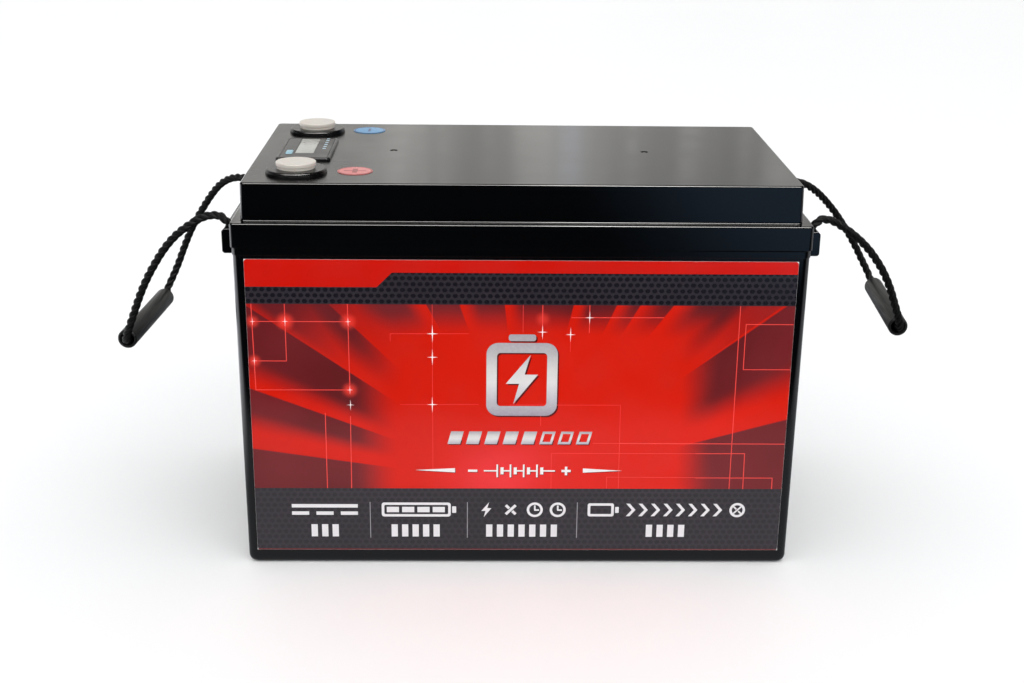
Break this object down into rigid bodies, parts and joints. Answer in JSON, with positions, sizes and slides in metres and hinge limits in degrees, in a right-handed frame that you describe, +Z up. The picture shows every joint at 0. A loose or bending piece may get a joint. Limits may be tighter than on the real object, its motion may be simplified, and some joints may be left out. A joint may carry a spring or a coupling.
{
  "type": "deep cycle battery",
  "caption": "Boxed deep cycle battery with a raised lid, two capped screw terminals, a flush meter with a wake key and two rope handles with tube grips.",
  "frame": {"origin": "middle of the footprint, on the surface that the battery stands on", "axes": "+X to the right along the length, +Y to the rear, +Z up; the label faces -Y and the terminals are at -X"},
  "size_m": [0.496, 0.19, 0.244],
  "materials": {
    "case_plastic": "glossy black ABS",
    "label_film": "printed gloss film",
    "seal_rubber": "matt rubber",
    "brass": "plated brass",
    "cap_plastic": "cream polyethylene",
    "red_disc": "printed disc",
    "blue_disc": "printed disc",
    "meter_plastic": "black ABS",
    "meter_film": "printed polyester film",
    "lcd_glass": "blank display glass",
    "key_plastic": "pale blue key",
    "rope": "black twisted polypropylene",
    "grip_plastic": "matt black tube",
    "cell_can": "blue sleeved can",
    "aluminium": "plain",
    "copper": "plain copper",
    "tinned_copper": "tinned",
    "steel": "zinc plated",
    "insulator": "epoxy board",
    "foam": "closed cell foam",
    "circuit_board": "green solder mask",
    "chip_plastic": "moulded epoxy",
    "socket_plastic": "nylon",
    "cable_red": "silicone sleeve",
    "cable_black": "silicone sleeve",
    "cable_yellow": "silicone sleeve"
  },
  "bodies": {
    "battery": {"case": "case_plastic", "lid": "case_plastic", "lid_seal": "seal_rubber", "front_label": "label_film", "positive_terminal": "brass", "negative_terminal": "brass", "terminal_seals": "seal_rubber", "terminal_bolts": "steel", "positive_disc": "red_disc", "negative_disc": "blue_disc", "meter_housing": "meter_plastic", "meter_window": "meter_film", "meter_lcd": "lcd_glass", "meter_board": "circuit_board", "meter_switch": "steel", "meter_cable": "cable_black", "left_rope_roots": "rope", "right_rope_roots": "rope", "rope_end_stops": "rope", "cell_1": "cell_can", "cell_2": "cell_can", "cell_3": "cell_can", "cell_4": "cell_can", "cell_positive_posts": "aluminium", "cell_negative_posts": "copper", "cell_vents": "aluminium", "cell_spacers": "insulator", "left_end_plate": "aluminium", "right_end_plate": "aluminium", "stack_straps": "steel", "cell_links": "copper", "link_nuts": "steel", "base_pad": "foam", "side_pads": "foam", "cell_cover": "insulator", "filler_foam": "foam", "bms_bracket": "steel", "bms_standoffs": "brass", "bms_board": "circuit_board", "bms_mosfets": "chip_plastic", "bms_heatsink": "aluminium", "bms_screws": "steel", "bms_posts": "brass", "bms_sockets": "socket_plastic", "positive_cable": "cable_red", "negative_cable": "cable_black", "stack_cable": "cable_black", "cable_lugs": "tinned_copper", "lug_screws": "steel", "balance_harness": "cable_yellow", "temperature_sensor": "chip_plastic"},
    "left_handle": {"left_rope_loop": "rope", "left_grip": "grip_plastic"},
    "right_handle": {"right_rope_loop": "rope", "right_grip": "grip_plastic"},
    "positive_cap": {"positive_cap": "cap_plastic"},
    "negative_cap": {"negative_cap": "cap_plastic"},
    "wake_key": {"meter_key": "key_plastic"}
  },
  "joints": [
    {"name": "left_handle_swing", "type": "hinge", "parent": "battery", "child": "left_handle", "pos_m": [-0.1752, 0, 0.2142], "axis": [0, 1, 0], "range_deg": [-35, 135]},
    {"name": "right_handle_swing", "type": "hinge", "parent": "battery", "child": "right_handle", "pos_m": [0.1752, 0, 0.2142], "axis": [0, -1, 0], "range_deg": [-35, 135]},
    {"name": "positive_cap_lift", "type": "slide", "parent": "battery", "child": "positive_cap", "axis": [0, 0, 1], "range_m": [0, 0.03]},
    {"name": "negative_cap_lift", "type": "slide", "parent": "battery", "child": "negative_cap", "axis": [0, 0, 1], "range_m": [0, 0.03]},
    {"name": "wake_key_press", "type": "slide", "parent": "battery", "child": "wake_key", "axis": [0, 0, -1], "range_m": [0, 0.0006], "stiffness_N_per_m": 400}
  ]
}
